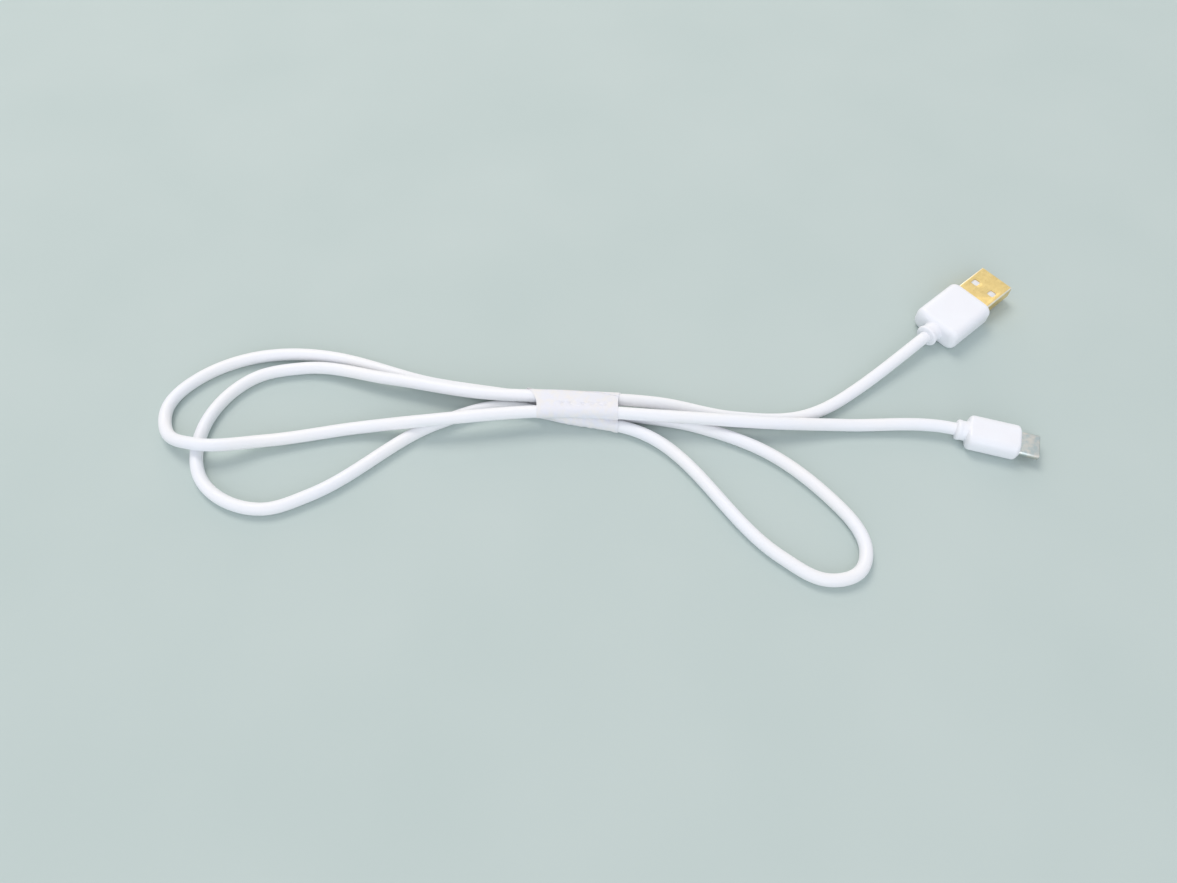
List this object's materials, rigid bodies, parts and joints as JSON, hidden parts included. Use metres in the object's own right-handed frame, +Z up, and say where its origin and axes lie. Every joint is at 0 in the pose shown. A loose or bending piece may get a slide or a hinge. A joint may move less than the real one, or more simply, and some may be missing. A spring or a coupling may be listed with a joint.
{
  "type": "charging cable",
  "caption": "White limp charging cable folded into loops and bound with a film band, with a flat rectangular plug on one end and an oval reversible plug on the other.",
  "frame": {"origin": "middle of the flat underside of the type A plug's moulded grip, on the surface that the cable lies on", "axes": "+Z up from that surface; +X the way that both plugs point, along the folded cable's length; +Y from the type C plug towards the type A plug"},
  "size_m": [0.2694, 0.1124, 0.0084],
  "materials": {
    "white_cord": "soft satin thermoplastic elastomer",
    "clear_film": "thin translucent film with a soft sheen",
    "white_grip": "smooth satin moulded plastic",
    "ivory_core": "plain moulded plastic",
    "gold_shell": "bright gold plating on folded sheet",
    "white_insulator": "plain moulded plastic",
    "contact_gold": "bright gold plating",
    "red_wire": "plain wire insulation",
    "white_wire": "plain wire insulation",
    "green_wire": "plain wire insulation",
    "black_wire": "plain dark plastic",
    "steel_clamp": "bright rolled sheet",
    "steel_shell": "satin drawn steel",
    "dark_insulator": "plain moulded plastic",
    "green_board": "lacquered laminate"
  },
  "bodies": {
    "root": {"cord_jacket": "white_cord", "tie_band": "clear_film", "type_a_grip": "white_grip", "type_a_core": "ivory_core", "type_a_shell": "gold_shell", "type_a_insulator": "white_insulator", "type_a_power_contact": "contact_gold", "type_a_data_minus_contact": "contact_gold", "type_a_data_plus_contact": "contact_gold", "type_a_ground_contact": "contact_gold", "type_a_power_wire": "red_wire", "type_a_data_minus_wire": "white_wire", "type_a_data_plus_wire": "green_wire", "type_a_ground_wire": "black_wire", "type_a_clamp": "steel_clamp", "type_c_grip": "white_grip", "type_c_core": "ivory_core", "type_c_shell": "steel_shell", "type_c_insulator": "dark_insulator", "type_c_upper_contacts": "contact_gold", "type_c_lower_contacts": "contact_gold", "type_c_latch": "steel_clamp", "type_c_upper_spring": "steel_clamp", "type_c_lower_spring": "steel_clamp", "type_c_board": "green_board", "type_c_resistor": "black_wire", "type_c_power_wire": "red_wire", "type_c_data_minus_wire": "white_wire", "type_c_data_plus_wire": "green_wire", "type_c_ground_wire": "black_wire", "type_c_clamp": "steel_clamp"}
  },
  "joints": []
}
